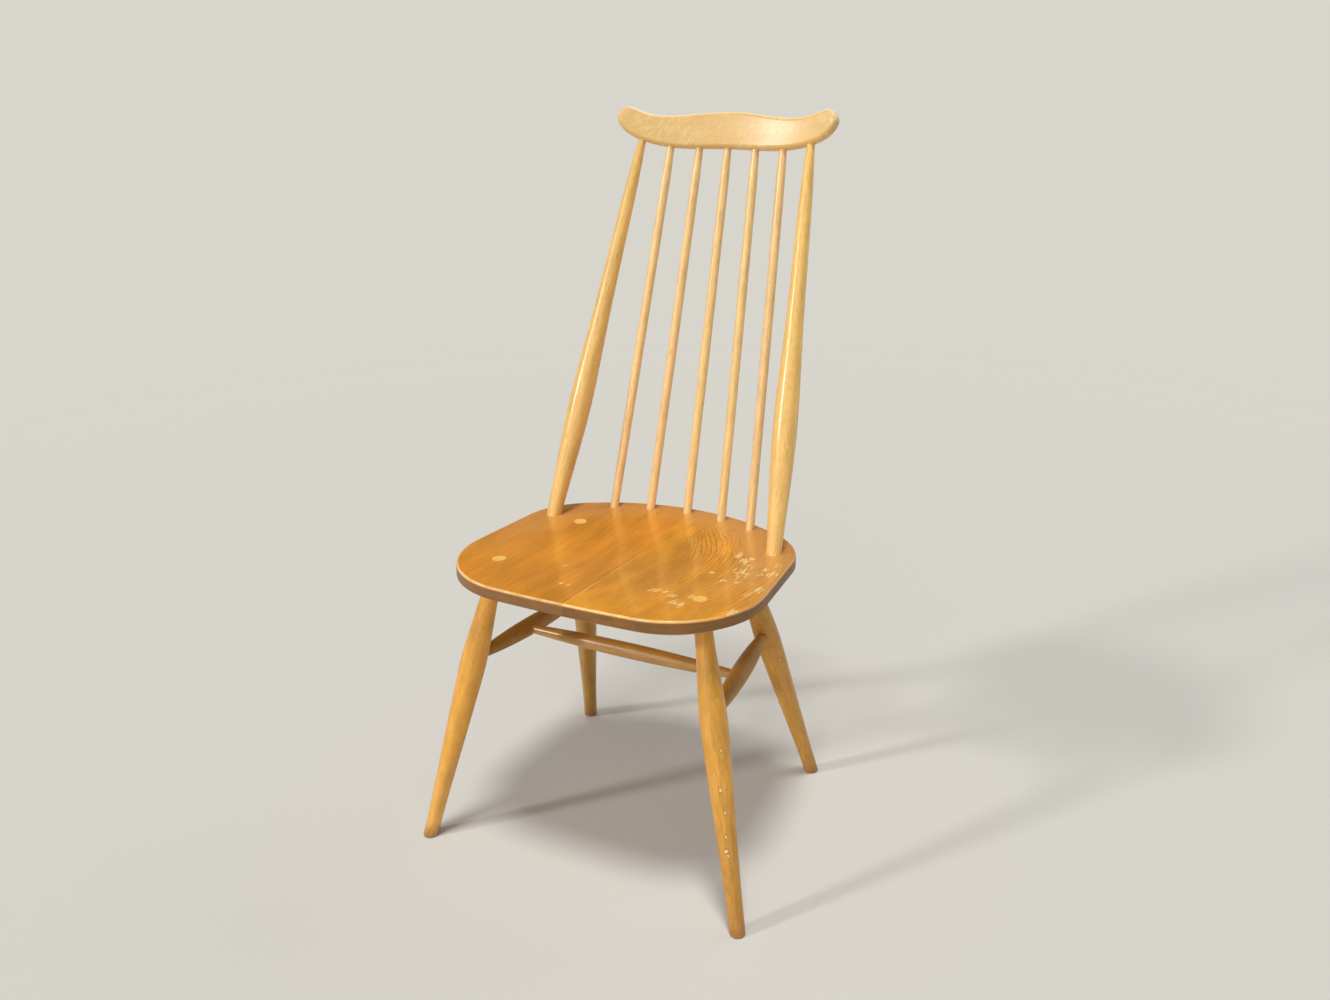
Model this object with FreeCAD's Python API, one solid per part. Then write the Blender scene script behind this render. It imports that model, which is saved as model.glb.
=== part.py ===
import FreeCAD
import Part
import math
import os
from FreeCAD import Placement, Rotation, Vector

# High-backed stick chair: a dished seat of two glued boards on four splayed legs, an H of
# stretchers between the legs, and a back of two posts, five sticks and a bowed crest rail.
# Sizes are in millimetres. +Z is up, the front faces -Y, left is -X, and the floor is Z = 0
# under the middle of the chair.

# Seat: measured in its own plane, which falls a little towards the back
SEAT_FRONT_Y = -269.8        # front edge, forward of the middle of the chair
SEAT_FRONT_HEIGHT = 431.0    # rim above the floor at the front edge
SEAT_FALL = 1.92             # degrees that the seat falls towards the back
SEAT_DEPTH = 398.0           # front edge to back edge on the centre line
SEAT_FRONT_WIDTH = 469.4     # between the straight sides, carried on to the front edge
SEAT_BACK_WIDTH = 408.8      # between the straight sides, carried on to the back edge
SEAT_THICKNESS = 27.0
SEAT_FRONT_BOW = 2000.0      # radius of the front edge
SEAT_BACK_BOW = 300.0        # radius of the back edge
SEAT_FRONT_CORNER = 130.0    # radius of the front corners
SEAT_BACK_CORNER = 114.0     # radius of the back corners
SEAT_ARRIS = 4.5             # rounding of the upper edge
SEAT_BEVEL_RISE = 10.0       # height of the bevel under the edge
SEAT_BEVEL_RUN = 18.0        # width of the bevel under the edge
SEAT_JOINT_X = 4.5           # glue joint between the two boards
DISH_DEPTH = 6.5
DISH_DIA = 350.0
DISH_FROM_FRONT = 192.0      # front edge to the deepest point
DISH_EDGE_SLOPE = 2.0        # degrees, where the dish runs out into the rim

# Legs: each is set by its hole in the seat and by how far its foot stands out from it
FRONT_LEG_FROM_FRONT = 93.3  # seat's front edge to hole
FRONT_LEG_FROM_SIDE = 74.2   # seat's side to hole
FRONT_LEG_SPLAY = 93.9       # foot outside the hole, sideways
FRONT_LEG_RAKE = 89.6        # foot in front of the hole
BACK_LEG_FROM_BACK = 125.2   # seat's back edge to hole
BACK_LEG_FROM_SIDE = 85.5
BACK_LEG_SPLAY = 74.6
BACK_LEG_RAKE = 129.6        # foot behind the hole
LEG_FOOT_DIA = 21.0
LEG_FOOT_ROUND = 2.0         # rounding of the foot's edge
LEG_ANKLE_DIA = 22.2
LEG_ANKLE_LENGTH = 42.0      # along the leg from the floor
LEG_SHIN_DIA = 30.2
LEG_SHIN_LENGTH = 165.0      # along the leg from the floor
LEG_CALF_DIA = 35.6
LEG_CALF_DROP = 43.0         # along the leg, below the swell
LEG_SWELL_DIA = 36.8         # where the stretcher goes in
LEG_NECK_DIA = 26.8
LEG_NECK_DROP = 73.0         # along the leg, below the rim of the seat
LEG_TOP_DIA = 25.0           # where it meets the seat
LEG_TENON_DIA = 19.0

# Stretchers
FRONT_JOINT_HEIGHT = 280.0   # side stretcher in the front leg
BACK_JOINT_HEIGHT = 275.4    # side stretcher in the back leg
SIDE_TENON_DIA = 15.0
SIDE_SWELL_DIA = 26.5
CROSS_FROM_FRONT = 116.4     # front leg to cross stretcher, along the side stretcher
CROSS_TENON_DIA = 13.6
CROSS_SWELL_DIA = 23.0

# Back: posts and sticks stand in the seat and run up into the crest rail
POST_FROM_BACK = 117.3       # seat's back edge to post hole
POST_FROM_SIDE = 33.9        # seat's side to post hole
POST_SEAT_DIA = 20.8
POST_LOWER_DIA = 28.6
POST_LOWER_HEIGHT = 80.0     # along the post, from the rim of the seat
POST_SWELL_DIA = 34.4
POST_SWELL_HEIGHT = 158.0
POST_UPPER_DIA = 27.0
POST_UPPER_HEIGHT = 300.0
POST_SLIM_DIA = 21.2
POST_SLIM_HEIGHT = 430.0
POST_TOP_DIA = 18.3          # where the post starts to narrow to the crest
POST_SHOULDER = 80.0         # that narrowing, down from the middle of its hole in the crest
POST_TENON_DIA = 18.0        # through the seat
POST_CREST_TENON_DIA = 12.0
STICK_FROM_BACK = 22.3       # seat's back edge to the row of stick holes
STICK_SEAT_X = (0.0, 59.4, 113.5)  # stick holes in the seat, out from the centre line
STICK_DIA = 13.9             # at the middle
STICK_TOP_DIA = 13.3         # where it starts to narrow to the crest
STICK_SEAT_DIA = 13.0
STICK_SEAT_DEPTH = 17.0      # blind hole in the seat
STICK_SHOULDER = 50.0        # narrowing, down from the middle of its hole in the crest
STICK_CREST_TENON_DIA = 11.0

# Crest rail: drawn in its own plane, which leans back
CREST_RISE = 519.1           # foot of the rail's plane, above the middle stick hole
CREST_SETBACK = 146.6        # foot of the rail's plane, behind the middle stick hole
CREST_LEAN = 17.5            # degrees
CREST_LENGTH = 347.0
CREST_THICKNESS = 18.0
CREST_BOW = 576.0            # radius in plan, hollow side to the front
CREST_TOP = 56.8             # top edge at the middle
CREST_BOTTOM = 4.4           # lower edge at the middle
CREST_EDGE_ROUND = 6.0
CREST_WAVE = [               # half outline: distance in from the rail's end, and height
    (118.5, 52.4),           # top edge, falling from the middle
    (68.5, 47.9),            # lowest point of the dip
    (35.5, 53.0),            # rise to the upswept end
    (13.5, 57.0),            # top of the upswept end
    (0.0, 43.5),             # furthest out
    (8.5, 25.0),             # rounded underside of the end
    (34.5, 11.0),            # lower edge, falling from the end
    (103.5, 2.5),            # lowest point of the lower edge
]
CREST_HOLE_HEIGHT = 14.0     # middle of each hole, which posts and sticks aim at
CREST_TENON_HALF = 11.0      # tenons reach this far above and below the middle of the hole
POST_CREST_FROM_END = 39.5   # rail's end to the post's hole

# Joinery
GLUE_GAP = 0.1               # room round each tenon, and at the end of each blind hole
WEDGE_THICKNESS = 3.2        # at its outer end
WEDGE_TIP = 1.2              # thickness at its inner end
WEDGE_LENGTH = 20.0

LEFT = -1
RIGHT = 1
SIDES = {LEFT: "left", RIGHT: "right"}
STICK_PLACES = range(1 - len(STICK_SEAT_X), len(STICK_SEAT_X))  # 0 is the middle stick
ENDS = {True: "front", False: "back"}
X_AXIS = Vector(1, 0, 0)
Z_AXIS = Vector(0, 0, 1)


def along(start, end, distance):
    """Point on the line from start to end, a distance from start."""
    return start + (end - start).normalize() * distance


def at_height(start, end, height):
    """Point on the line from start to end, a height above the floor."""
    return start + (end - start) * ((height - start.z) / (end.z - start.z))


def turned(start, end, runs):
    """Turning about the line from start to end.

    Each run is a list of (distance from start, diameter): two of them make a straight
    run, and more make one smooth curve. A run starts where the one before it ends.
    """
    outline = [[Vector(diameter / 2, 0, place) for place, diameter in run] for run in runs]
    edges = []
    for points in outline:
        if len(points) == 2:
            edges.append(Part.LineSegment(*points).toShape())
        else:
            curve = Part.BSplineCurve()
            curve.interpolate(points)
            edges.append(curve.toShape())
    first = outline[0][0]
    last = outline[-1][-1]
    bottom = Vector(0, 0, first.z)
    top = Vector(0, 0, last.z)
    edges.insert(0, Part.LineSegment(bottom, first).toShape())
    edges.append(Part.LineSegment(last, top).toShape())
    edges.append(Part.LineSegment(top, bottom).toShape())
    solid = Part.Face(Part.Wire(edges)).revolve(Vector(), Z_AXIS, 360)
    solid.Placement = Placement(start, Rotation(Z_AXIS, end - start))
    return solid


def rod(start, end, diameter, room=0.0):
    """Plain round rod between two points, or the hole for one, with room all round."""
    line = end - start
    solid = Part.makeCylinder(diameter / 2 + room, line.Length)
    solid.Placement = Placement(start, Rotation(Z_AXIS, line))
    return solid


# The seat's own frame: X to the right, Y from its front edge to the back, Z up off its rim
seat_place = Placement(Vector(0, SEAT_FRONT_Y, SEAT_FRONT_HEIGHT), Rotation(X_AXIS, -SEAT_FALL))


def seat_half_width(from_front):
    """Half the width between the seat's straight sides."""
    share = from_front / SEAT_DEPTH
    return (SEAT_FRONT_WIDTH + (SEAT_BACK_WIDTH - SEAT_FRONT_WIDTH) * share) / 2


def on_rim(x, from_front):
    """Point in the plane of the seat's rim."""
    return seat_place.multVec(Vector(x, from_front, 0))


def from_side(side, inset, from_front):
    """Point in the plane of the rim, set in from the seat's side."""
    return on_rim(side * (seat_half_width(from_front) - inset), from_front)


def on_stick_row(x):
    """Middle of a stick's hole in the seat, on an arc that follows the back edge."""
    radius = SEAT_BACK_BOW - STICK_FROM_BACK
    return on_rim(x, SEAT_DEPTH - SEAT_BACK_BOW + math.sqrt(radius ** 2 - x ** 2))


def dish():
    """Round hollow of the seat: a shallow S-shaped section, turned about the deepest point."""
    deepest = Vector(0, 0, -DISH_DEPTH)
    halfway = Vector(DISH_DIA / 4, 0, -DISH_DEPTH / 2)
    rim = Vector(DISH_DIA / 2, 0, 0)
    slope = math.radians(DISH_EDGE_SLOPE)
    curve = Part.BSplineCurve()
    curve.interpolate(
        Points=[deepest, halfway, rim],
        InitialTangent=X_AXIS * DISH_DIA,
        FinalTangent=Vector(math.cos(slope), 0, math.sin(slope)) * DISH_DIA,
    )
    above = Z_AXIS * DISH_DEPTH
    corners = [rim, rim + above, above, deepest]
    lines = [Part.LineSegment(a, b).toShape() for a, b in zip(corners, corners[1:])]
    bowl = Part.Face(Part.Wire([curve.toShape()] + lines)).revolve(Vector(), Z_AXIS, 360)
    bowl.translate(Vector(0, DISH_FROM_FRONT, 0))
    return bowl


def seat_blank():
    """Whole seat with its dish, before the holes and the joint between its boards."""
    ends = (-SEAT_THICKNESS, SEAT_DEPTH + SEAT_THICKNESS)
    corners = [(LEFT, ends[0]), (RIGHT, ends[0]), (RIGHT, ends[1]), (LEFT, ends[1])]
    points = [Vector(side * seat_half_width(y), y, -SEAT_THICKNESS) for side, y in corners]
    blank = Part.Face(Part.makePolygon(points + points[:1])).extrude(Z_AXIS * SEAT_THICKNESS)
    for radius, middle in ((SEAT_FRONT_BOW, SEAT_FRONT_BOW), (SEAT_BACK_BOW, SEAT_DEPTH - SEAT_BACK_BOW)):
        bow = Part.makeCylinder(radius, SEAT_THICKNESS, Vector(0, middle, -SEAT_THICKNESS))
        blank = blank.common(bow)
    for radius, at_back in ((SEAT_FRONT_CORNER, False), (SEAT_BACK_CORNER, True)):
        upright = [edge for edge in blank.Edges if edge.BoundBox.ZLength > SEAT_THICKNESS / 2]
        upright.sort(key=lambda edge: edge.CenterOfMass.y, reverse=at_back)
        blank = blank.makeFillet(radius, upright[:2])
    lower = [edge for edge in blank.Edges if edge.BoundBox.ZMax < -SEAT_THICKNESS / 2]
    blank = blank.makeChamfer(SEAT_BEVEL_RISE, SEAT_BEVEL_RUN, lower)
    upper = [edge for edge in blank.Edges if edge.BoundBox.ZMin > -SEAT_THICKNESS / 4]
    blank = blank.makeFillet(SEAT_ARRIS, upper).cut(dish())
    blank.Placement = seat_place
    return blank


def half_space(is_left):
    """Block that holds one side of the seat, up to the glue joint."""
    span = SEAT_FRONT_WIDTH + SEAT_BACK_WIDTH
    start = SEAT_JOINT_X - span if is_left else SEAT_JOINT_X
    return Part.makeBox(span, 2 * span, 2 * span, Vector(start, -span, SEAT_FRONT_HEIGHT - span))


def seat_slab():
    """Flat slab as thick as the seat and wider all round, which shoulders are cut against."""
    span = SEAT_FRONT_WIDTH + SEAT_BACK_WIDTH
    slab = Part.makeBox(2 * span, 2 * span, SEAT_THICKNESS, Vector(-span, -span, -SEAT_THICKNESS))
    slab.Placement = seat_place
    return slab


def wedge_cutter(tip, outer):
    """Tapered wedge across the seat, wider than a tenon and carried on past its outer end."""
    line = outer - tip
    reach = max(LEG_TENON_DIA, POST_TENON_DIA)
    butt = 2 * WEDGE_THICKNESS - WEDGE_TIP
    section = ((-WEDGE_TIP, 0), (WEDGE_TIP, 0), (butt, 2), (-butt, 2))
    points = [Vector(-reach, width / 2, place * line.Length) for width, place in section]
    prism = Part.Face(Part.makePolygon(points + points[:1])).extrude(X_AXIS * 2 * reach)
    prism.Placement = Placement(tip, Rotation(X_AXIS, Vector(), line, "ZXY"))
    return prism


seat = seat_blank()
slab = seat_slab()


def through_joint(body, tenon, wedge_tip, wedge_end):
    """Turning with its shoulder on the seat and a wedged tenon through it, and the wedge."""
    peg = tenon.common(seat)
    wedge = wedge_cutter(wedge_tip, wedge_end).common(peg)
    return body.cut(slab).fuse(peg.cut(wedge)).removeSplitter(), wedge


# Legs
def leg_line(side, is_front):
    """Foot and upper end of a leg's centre line."""
    if is_front:
        top = from_side(side, FRONT_LEG_FROM_SIDE, FRONT_LEG_FROM_FRONT)
        return Vector(top.x + side * FRONT_LEG_SPLAY, top.y - FRONT_LEG_RAKE, 0), top
    top = from_side(side, BACK_LEG_FROM_SIDE, SEAT_DEPTH - BACK_LEG_FROM_BACK)
    return Vector(top.x + side * BACK_LEG_SPLAY, top.y + BACK_LEG_RAKE, 0), top


def joint_height(is_front):
    """Height of the side stretcher's joint in a leg."""
    return FRONT_JOINT_HEIGHT if is_front else BACK_JOINT_HEIGHT


def leg_body(foot, top, swell):
    """Leg below the seat: tapered to the foot, swelled at the stretcher, slim at the neck."""
    length = foot.distanceToPoint(top)
    swell_length = foot.distanceToPoint(swell)
    body = turned(foot, top, [[
        (-LEG_FOOT_DIA, LEG_FOOT_DIA),
        (LEG_ANKLE_LENGTH, LEG_ANKLE_DIA),
        (LEG_SHIN_LENGTH, LEG_SHIN_DIA),
        (swell_length - LEG_CALF_DROP, LEG_CALF_DIA),
        (swell_length, LEG_SWELL_DIA),
        (length - LEG_NECK_DROP, LEG_NECK_DIA),
        (length - SEAT_THICKNESS / 2, LEG_TOP_DIA),
    ]])
    ground = Part.makeBox(4 * LEG_FOOT_DIA, 4 * LEG_FOOT_DIA, 2 * LEG_FOOT_DIA)
    ground.translate(foot - Vector(2, 2, 2) * LEG_FOOT_DIA)
    body = body.cut(ground)
    sole = [edge for edge in body.Edges if edge.BoundBox.ZMax < LEG_FOOT_ROUND]
    return body.makeFillet(LEG_FOOT_ROUND, sole)


def leg_tenon(side, is_front, room):
    """Round tenon of a leg, or its hole, running right through the seat."""
    foot, top = leg_line(side, is_front)
    length = foot.distanceToPoint(top)
    start = along(foot, top, length - 2 * SEAT_THICKNESS)
    end = along(foot, top, length + SEAT_THICKNESS)
    return rod(start, end, LEG_TENON_DIA, room)


def leg_and_wedge(side, is_front):
    """Leg with the hole for its stretcher, and the wedge in its tenon."""
    foot, top = leg_line(side, is_front)
    swell = at_height(foot, top, joint_height(is_front))
    wedge_tip = along(top, foot, WEDGE_LENGTH)
    leg, wedge = through_joint(leg_body(foot, top, swell), leg_tenon(side, is_front, 0), wedge_tip, top)
    return leg.cut(side_stretcher_tenon(side, is_front, GLUE_GAP)), wedge


# Stretchers
def side_stretcher_line(side):
    """Where a side stretcher's centre line meets those of the front and the back leg."""
    return [at_height(*leg_line(side, is_front), joint_height(is_front)) for is_front in (True, False)]


def side_stretcher_tenon(side, is_front, room):
    """Tenon of a side stretcher in a leg, or its blind hole."""
    front, back = side_stretcher_line(side)
    start, end = (front, back) if is_front else (back, front)
    return rod(along(start, end, -room), along(start, end, LEG_SWELL_DIA), SIDE_TENON_DIA, room)


def cross_stretcher_line():
    """Left and right ends of the cross stretcher, on the side stretchers' centre lines."""
    return [along(*side_stretcher_line(side), CROSS_FROM_FRONT) for side in (LEFT, RIGHT)]


def cross_stretcher_tenon(side, room):
    """Tenon of the cross stretcher in a side stretcher, or its blind hole."""
    left, right = cross_stretcher_line()
    start, end = (left, right) if side == LEFT else (right, left)
    return rod(along(start, end, -room), along(start, end, SIDE_SWELL_DIA), CROSS_TENON_DIA, room)


def stretcher(start, end, tenon_dia, swell_dia, holder_dia):
    """Turned stretcher, swelled at the middle, with a plain tenon at each end in its holder."""
    length = start.distanceToPoint(end)
    tenon_length = holder_dia / 2 + tenon_dia / 4
    return turned(start, end, [
        [(0, tenon_dia), (tenon_length, tenon_dia)],
        [(tenon_length, tenon_dia), (length / 2, swell_dia), (length - tenon_length, tenon_dia)],
        [(length - tenon_length, tenon_dia), (length, tenon_dia)],
    ])


# The crest rail's own frame: X to the right, Y to the back, Z up the leaning rail
crest_place = Placement(
    on_stick_row(0) + Vector(0, CREST_SETBACK, CREST_RISE), Rotation(X_AXIS, -CREST_LEAN))


def crest_bow(x):
    """How far the rail's middle layer lies in front of its plane."""
    return CREST_BOW - math.sqrt(CREST_BOW ** 2 - x ** 2)


def crest_outline():
    """Waved outline of the rail as seen square from the front."""
    half = [(CREST_LENGTH / 2 - from_end, height) for from_end, height in CREST_WAVE]
    mirrored = [(-x, z) for x, z in reversed(half)]
    outline = [(0, CREST_TOP)] + half + [(0, CREST_BOTTOM)] + mirrored
    curve = Part.BSplineCurve()
    curve.interpolate(Points=[Vector(x, 0, z) for x, z in outline], PeriodicFlag=True)
    places = curve.getKnots()
    return Part.Wire([curve.toShape(*piece) for piece in zip(places[::3], places[3::3])])


def crest_blank():
    """Bowed rail with rounded edges, before its holes."""
    outer = CREST_BOW + CREST_THICKNESS / 2
    inner = CREST_BOW - CREST_THICKNESS / 2
    foot = Vector(0, -CREST_BOW, -CREST_TOP)
    height = 3 * CREST_TOP
    bent = Part.makeCylinder(outer, height, foot).cut(Part.makeCylinder(inner, height, foot))
    face = Part.Face(crest_outline())
    face.translate(Vector(0, -CREST_LENGTH / 2, 0))
    rail = bent.common(face.extrude(Vector(0, CREST_LENGTH, 0)))
    broad = [face for face in rail.Faces if isinstance(face.Surface, Part.Cylinder)]
    edges = [edge for face in broad for edge in face.Edges]
    rail = rail.makeFillet(CREST_EDGE_ROUND, edges)
    rail.Placement = crest_place
    return rail


# Posts and sticks of the back
def in_crest(share):
    """Middle of a hole in the crest rail, at a share of the way from its middle to a post."""
    x = share * (CREST_LENGTH / 2 - POST_CREST_FROM_END)
    return crest_place.multVec(Vector(x, -crest_bow(x), CREST_HOLE_HEIGHT))


def post_line(side):
    """A post's centre line, from the seat's rim to the middle of its hole in the crest."""
    return from_side(side, POST_FROM_SIDE, SEAT_DEPTH - POST_FROM_BACK), in_crest(side)


def stick_line(place):
    """A stick's centre line: evenly spaced between the posts in the crest, wider in the seat."""
    seat_x = math.copysign(STICK_SEAT_X[abs(place)], place)
    return on_stick_row(seat_x), in_crest(place / len(STICK_SEAT_X))


def crest_hole(base, hole, diameter):
    """Blind hole in the crest rail for the tenon of a post or stick."""
    end = base.distanceToPoint(hole) + CREST_TENON_HALF + GLUE_GAP
    return rod(along(base, hole, end - 4 * CREST_TENON_HALF), along(base, hole, end), diameter, GLUE_GAP)


def post_tenon(side, room):
    """Round tenon of a post, or its hole, running right through the seat."""
    base, hole = post_line(side)
    start = along(base, hole, -2 * SEAT_THICKNESS)
    end = along(base, hole, SEAT_THICKNESS)
    return rod(start, end, POST_TENON_DIA, room)


def post_and_wedge(side):
    """Back post, swelled in its lower half, and the wedge driven into its tenon from below."""
    base, hole = post_line(side)
    length = base.distanceToPoint(hole)
    neck = length - CREST_TENON_HALF
    body = turned(base, hole, [
        [
            (-SEAT_THICKNESS / 2, POST_SEAT_DIA),
            (POST_LOWER_HEIGHT, POST_LOWER_DIA),
            (POST_SWELL_HEIGHT, POST_SWELL_DIA),
            (POST_UPPER_HEIGHT, POST_UPPER_DIA),
            (POST_SLIM_HEIGHT, POST_SLIM_DIA),
            (length - POST_SHOULDER, POST_TOP_DIA),
            (neck, POST_CREST_TENON_DIA),
        ],
        [(neck, POST_CREST_TENON_DIA), (length + CREST_TENON_HALF, POST_CREST_TENON_DIA)],
    ])
    up_seat = seat_place.Rotation.multVec(Z_AXIS)
    underside = -SEAT_THICKNESS * length / (hole - base).dot(up_seat)
    wedge_tip = along(base, hole, underside + WEDGE_LENGTH)
    return through_joint(body, post_tenon(side, 0), wedge_tip, along(base, hole, underside))


def stick_hole(place):
    """Blind hole in the seat for a stick."""
    base, hole = stick_line(place)
    bottom = along(base, hole, -STICK_SEAT_DEPTH - GLUE_GAP)
    return rod(bottom, along(base, hole, STICK_SEAT_DEPTH), STICK_SEAT_DIA, GLUE_GAP)


def stick(place):
    """Slim stick, a little fuller at the middle and narrowed to its tenon in the crest."""
    base, hole = stick_line(place)
    length = base.distanceToPoint(hole)
    clear_of_seat = STICK_SEAT_DIA / 2
    neck = length - CREST_TENON_HALF
    shoulder = length - STICK_SHOULDER
    return turned(base, hole, [
        [(-STICK_SEAT_DEPTH, STICK_SEAT_DIA), (clear_of_seat, STICK_SEAT_DIA)],
        [(clear_of_seat, STICK_SEAT_DIA), (length / 2, STICK_DIA), (shoulder, STICK_TOP_DIA)],
        [(shoulder, STICK_TOP_DIA), (neck, STICK_CREST_TENON_DIA)],
        [(neck, STICK_CREST_TENON_DIA), (length + CREST_TENON_HALF, STICK_CREST_TENON_DIA)],
    ])


# Assembly
nodes = {}
seat_holes = [stick_hole(place) for place in STICK_PLACES]
crest_holes = [crest_hole(*stick_line(place), STICK_CREST_TENON_DIA) for place in STICK_PLACES]

for side, side_name in SIDES.items():
    for is_front, end_name in ENDS.items():
        name = f"{end_name}_{side_name}_leg"
        nodes[name], nodes[f"{name}_wedge"] = leg_and_wedge(side, is_front)
        seat_holes.append(leg_tenon(side, is_front, GLUE_GAP))
    name = f"back_post_{side_name}"
    nodes[name], nodes[f"{name}_wedge"] = post_and_wedge(side)
    seat_holes.append(post_tenon(side, GLUE_GAP))
    crest_holes.append(crest_hole(*post_line(side), POST_CREST_TENON_DIA))
    side_rail = stretcher(*side_stretcher_line(side), SIDE_TENON_DIA, SIDE_SWELL_DIA, LEG_SWELL_DIA)
    nodes[f"side_stretcher_{side_name}"] = side_rail.cut(cross_stretcher_tenon(side, GLUE_GAP))

nodes["cross_stretcher"] = stretcher(
    *cross_stretcher_line(), CROSS_TENON_DIA, CROSS_SWELL_DIA, SIDE_SWELL_DIA)
for number, place in enumerate(STICK_PLACES, start=1):
    nodes[f"back_stick_{number}"] = stick(place)
nodes["crest_rail"] = crest_blank().cut(crest_holes)
drilled = seat.cut(seat_holes)
nodes["seat_board_left"] = drilled.common(half_space(True))
nodes["seat_board_right"] = drilled.common(half_space(False))

os.makedirs("parts", exist_ok=True)
for name, shape in nodes.items():
    shape.exportStep(f"parts/{name}.step")
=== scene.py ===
"""Looks of a high-backed stick chair: its timber, varnish and wear, and a plain studio round it."""

import logging
import math
from dataclasses import dataclass, field, replace
from enum import Enum
from typing import Any

import bpy
import numpy as np
from mathutils import Euler, Matrix, Vector


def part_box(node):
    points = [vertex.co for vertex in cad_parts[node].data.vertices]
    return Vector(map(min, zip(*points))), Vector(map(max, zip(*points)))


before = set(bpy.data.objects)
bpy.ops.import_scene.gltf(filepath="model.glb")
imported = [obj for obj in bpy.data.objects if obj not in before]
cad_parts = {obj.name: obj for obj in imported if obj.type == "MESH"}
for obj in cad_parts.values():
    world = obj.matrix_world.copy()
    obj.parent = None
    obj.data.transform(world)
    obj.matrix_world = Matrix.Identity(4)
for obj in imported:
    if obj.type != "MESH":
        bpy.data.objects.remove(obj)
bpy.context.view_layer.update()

LEFT_BOARD = "seat_board_left"
RIGHT_BOARD = "seat_board_right"
MM = 0.001
KNOCK_DEPTH_MM = 0.3

log = logging.getLogger("stick_chair")


def linear(colour: str) -> tuple[float, float, float, float]:
    """Turns a colour to linear light.

    Args:
        colour: sRGB hex value, such as "#d48b36".

    Returns:
        Linear red, green, blue and an alpha of 1.
    """
    shares = [int(colour[start:start + 2], 16) / 255 for start in (1, 3, 5)]
    red, green, blue = (s / 12.92 if s <= 0.04045 else ((s + 0.055) / 1.055) ** 2.4 for s in shares)
    return red, green, blue, 1.0


def add(
    tree: bpy.types.NodeTree, kind: str, inputs: dict[str | int, Any] | None = None,
    output: str | int = 0, **settings: Any,
) -> bpy.types.NodeSocket | None:
    """Adds a node with its settings and links.

    Args:
        tree: Node tree that takes the node.
        kind: Node type, without the ShaderNode that all of them start with.
        inputs: A value, or an output socket to link, for each input by its name or number.
        output: Name or number of the output that is wanted.
        settings: Properties of the node.

    Returns:
        The output socket, or None for the node that ends a tree.
    """
    node = tree.nodes.new("ShaderNode" + kind)
    for name, value in settings.items():
        setattr(node, name, value)
    for name, value in (inputs or {}).items():
        if isinstance(value, bpy.types.NodeSocket):
            tree.links.new(value, node.inputs[name])
        else:
            node.inputs[name].default_value = value
    return node.outputs[output] if node.outputs else None


def new_material(name: str) -> bpy.types.Material:
    """Makes an empty node material.

    Args:
        name: Its name.

    Returns:
        The material.
    """
    material = bpy.data.materials.new(name)
    material.use_nodes = True
    material.node_tree.nodes.clear()
    return material


class Cut(Enum):
    """How a board lies in its log, as the angle from its face to its growth rings in degrees."""

    FLAT_SAWN = 0.0
    RIFT_SAWN = 50.0


@dataclass(frozen=True)
class Grain:
    """Place of a piece in its log.

    Attributes:
        pith: Point on the middle of the log, in metres.
        along: Direction of the fibres.
        outward: Direction from the pith to the piece, square to the fibres.
    """

    pith: Vector
    along: Vector
    outward: Vector

    @classmethod
    def of_board(
        cls, middle: Vector, along: Vector, face: Vector, cut: Cut, pith_mm: float,
    ) -> "Grain":
        """Works out the grain of a sawn board.

        Args:
            middle: Point in the board, in metres.
            along: Direction of the fibres.
            face: Normal of the board's upper face.
            cut: How the board was sawn.
            pith_mm: Distance from the pith to the middle.

        Returns:
            The board's grain.
        """
        outward = (face - along * face.dot(along)).normalized()
        outward = Matrix.Rotation(math.radians(cut.value), 3, along) @ outward
        return cls(middle - outward * pith_mm * MM, along, outward)

    def rotation(self) -> Euler:
        """Turn from the log's axes, X outward and Z along the fibres, to the chair's."""
        across = self.along.cross(self.outward)
        return Matrix((self.outward, across, self.along)).transposed().to_euler()


@dataclass(frozen=True)
class Varnish:
    """Satin varnish: a thin clear film that follows the timber, rubbed duller where it is handled.

    Attributes:
        roughness: Middle of the timber's roughness under the film.
        spread: How far the roughness wanders to each side.
        bare: Roughness of the timber where the film is gone.
        film: Weight of the clear film.
        film_roughness: Roughness of the clear film.
        ior: Index of refraction of the film, that of a cellulose lacquer.
    """

    roughness: float = 0.36
    spread: float = 0.07
    bare: float = 0.7
    film: float = 0.2
    film_roughness: float = 0.15
    ior: float = 1.48


@dataclass(frozen=True)
class Timber:
    """Look of one kind of timber, before it is cut into a piece.

    Attributes:
        name: Common name, which starts the name of each material made from it.
        early: Hex colour of the spring growth.
        late: Hex colour of the summer growth, which edges each ring.
        pores: Hex colour of the pores that start the next ring.
        fibre: Hex colour of the pores and fibres that streak it.
        end: Hex colour of its end grain.
        bare: Hex colour where wear has gone through the varnish, and of the painted highlight along
            the seat's front arris and the crest rail's edges.
        ring_mm: Width of a growth ring.
        ring_depth: How strongly the rings show, from 0 to 1.
        wander_mm: How far a ring strays from a true circle.
        fibre_mm: Width and length of a streak.
        fibre_depth: How strongly the streaks show, from 0 to 1.
        tone_mm: Width and length of the broad changes of tone.
        tone_depth: How far the tone goes lighter and darker.
        relief_mm: Height of the open grain.
        varnish: The clear finish.
    """

    name: str
    early: str
    late: str
    pores: str
    fibre: str
    end: str
    bare: str
    ring_mm: float
    ring_depth: float
    wander_mm: float
    fibre_mm: tuple[float, float]
    fibre_depth: float
    tone_mm: tuple[float, float] = (35.0, 260.0)
    tone_depth: float = 0.07
    relief_mm: float = 0.03
    varnish: Varnish = field(default_factory=Varnish)


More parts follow.
